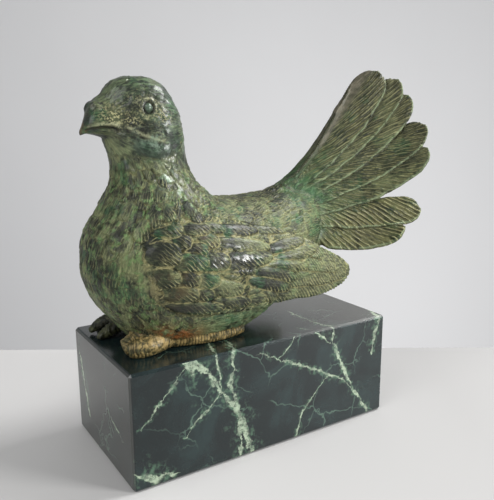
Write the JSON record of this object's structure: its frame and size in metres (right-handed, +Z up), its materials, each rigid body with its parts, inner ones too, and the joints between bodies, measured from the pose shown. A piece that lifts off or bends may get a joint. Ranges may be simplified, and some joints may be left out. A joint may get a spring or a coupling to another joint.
{
  "type": "dove statue",
  "caption": "Bronze statue of a sitting dove with folded wings and a raised fan tail, resting on a rectangular dark green veined marble plinth.",
  "frame": {"origin": "centre of the marble plinth's underside", "axes": "+X along the plinth's length towards the bird's tail, so the bird faces -X; the flank seen in the picture faces -Y; +Z up"},
  "size_m": [0.2041, 0.0913, 0.2012],
  "materials": {
    "bronze_patina": "satin",
    "green_marble": "polished"
  },
  "bodies": {
    "root": {"bronze_dove": "bronze_patina", "marble_plinth": "green_marble"}
  },
  "joints": []
}
